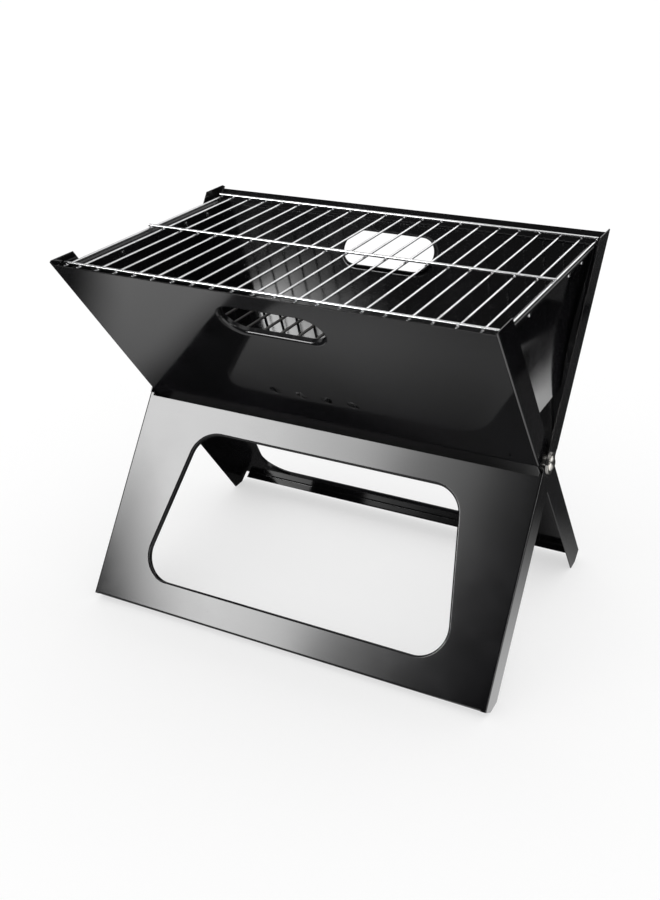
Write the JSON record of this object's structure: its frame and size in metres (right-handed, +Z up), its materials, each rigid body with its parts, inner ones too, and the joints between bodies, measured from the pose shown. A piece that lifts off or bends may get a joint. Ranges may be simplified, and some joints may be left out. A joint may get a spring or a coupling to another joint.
{
  "type": "folding camp grill",
  "caption": "Folding charcoal camp grill: two crossing sheet-metal arms form a trough and legs, with a wire cooking grid, end plates and a wire charcoal grate.",
  "frame": {"origin": "on the ground, midway between the sides and midway between the front and rear feet", "axes": "+X to the grill's right seen from the front, +Y to the back, +Z up"},
  "size_m": [0.4592, 0.3064, 0.3822],
  "materials": {
    "black_enamel": "gloss black enamel on pressed sheet",
    "black_rivet": "black painted rivets",
    "end_enamel": "satin black enamel",
    "grate_wire": "plain darkened steel wire",
    "nickel": "bright nickel plate",
    "rivet_steel": "plain steel rivets",
    "chrome_wire": "chrome plated wire"
  },
  "bodies": {
    "outer_arm": {"rear_wall": "black_enamel", "front_leg": "black_enamel", "outer_links": "black_enamel", "outer_link_rivets": "black_rivet", "pivot_bolts": "nickel", "pivot_washers": "nickel", "pivot_spacers": "nickel", "pivot_nuts": "nickel"},
    "inner_arm": {"front_wall": "black_enamel", "rear_leg": "black_enamel", "inner_links": "black_enamel", "inner_link_rivets": "black_rivet"},
    "grate": {"grate_front_bar": "grate_wire", "grate_rear_bar": "grate_wire", "grate_cross_wires": "grate_wire"},
    "end_left": {"end_plate_left": "end_enamel", "end_rail_left": "end_enamel", "end_rivets_left": "rivet_steel"},
    "end_right": {"end_plate_right": "end_enamel", "end_rail_right": "end_enamel", "end_rivets_right": "rivet_steel"},
    "grid": {"grid_front_bar": "chrome_wire", "grid_centre_bar": "chrome_wire", "grid_rear_bar": "chrome_wire", "grid_cross_wires": "chrome_wire"}
  },
  "joints": [
    {"name": "fold", "type": "hinge", "parent": "outer_arm", "child": "inner_arm", "pos_m": [0, 0, 0.195], "axis": [-1, 0, 0], "range_deg": [0, 72]},
    {"name": "grate_lift", "type": "slide", "parent": "outer_arm", "child": "grate", "axis": [0, 0, 1], "range_m": [0, 0.5]},
    {"name": "left_end_lift", "type": "slide", "parent": "outer_arm", "child": "end_left", "axis": [0, 0, 1], "range_m": [0, 0.5]},
    {"name": "right_end_lift", "type": "slide", "parent": "outer_arm", "child": "end_right", "axis": [0, 0, 1], "range_m": [0, 0.5]},
    {"name": "grid_lift", "type": "slide", "parent": "outer_arm", "child": "grid", "axis": [0, 0, 1], "range_m": [0, 0.5]}
  ],
  "couplings": [
    {"joint": "grate_lift", "follows": "fold", "m_per_rad": 0.397},
    {"joint": "left_end_lift", "follows": "fold", "m_per_rad": 0.397},
    {"joint": "right_end_lift", "follows": "fold", "m_per_rad": 0.397},
    {"joint": "grid_lift", "follows": "fold", "m_per_rad": 0.397}
  ]
}
